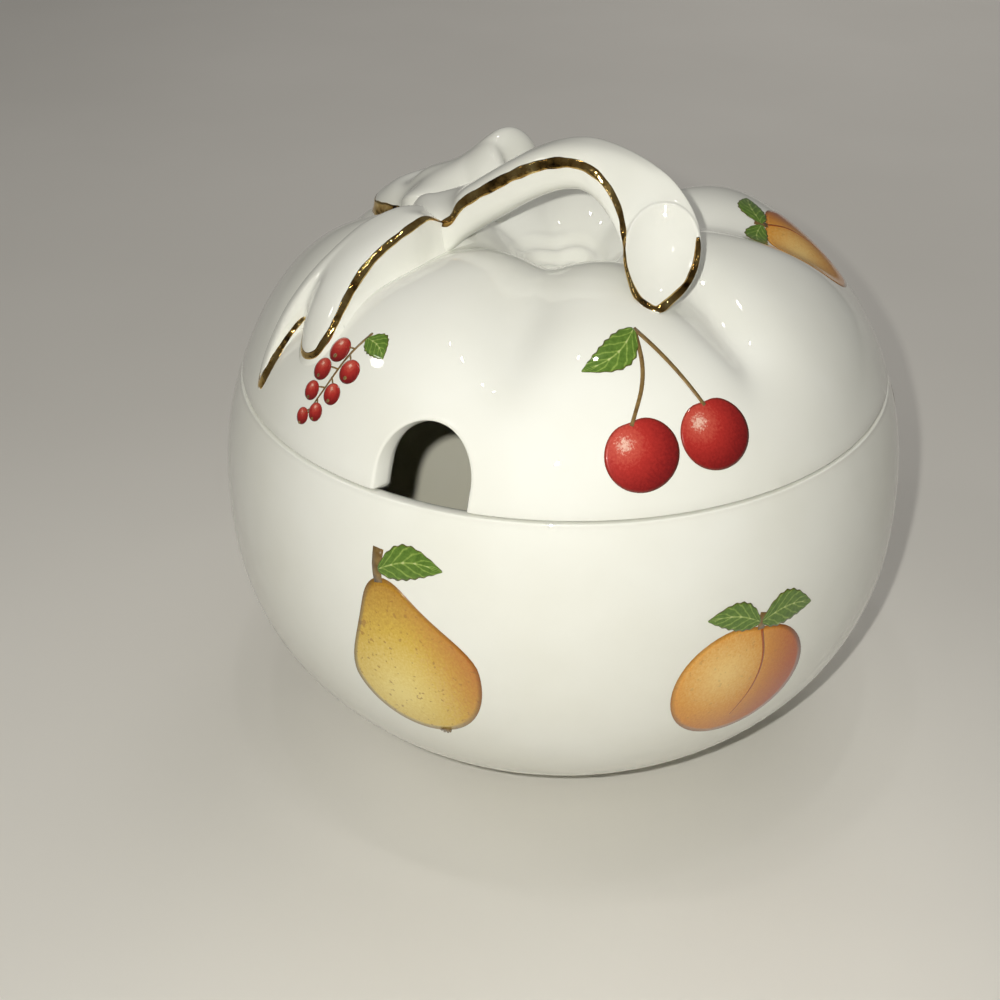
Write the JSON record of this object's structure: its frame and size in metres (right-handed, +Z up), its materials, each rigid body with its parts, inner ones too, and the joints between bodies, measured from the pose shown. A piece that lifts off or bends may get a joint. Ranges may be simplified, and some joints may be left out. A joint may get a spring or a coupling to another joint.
{
  "type": "jam pot",
  "caption": "Apple-shaped glazed porcelain jam pot: footed bowl, lift-off lobed lid with an arched spoon notch, and a twig handle with leaves on the lid.",
  "frame": {"origin": "centre of the foot ring, on the table", "axes": "+Z up along the pot's axis, -Y towards the spoon notch, +X towards the cut end of the twig handle"},
  "size_m": [0.12, 0.12, 0.1104],
  "materials": {
    "porcelain": "clear gloss glaze over white porcelain",
    "gilding": "burnished gold lustre",
    "print": "fruit transfer print under the glaze"
  },
  "bodies": {
    "bowl": {"pot": "porcelain"},
    "cover": {"lid": "porcelain", "stem_handle": "porcelain", "front_leaf": "porcelain", "rear_leaf": "porcelain"}
  },
  "joints": [
    {"name": "lid_lift", "type": "slide", "parent": "bowl", "child": "cover", "axis": [0, 0, 1], "range_m": [0, 0.08]}
  ]
}
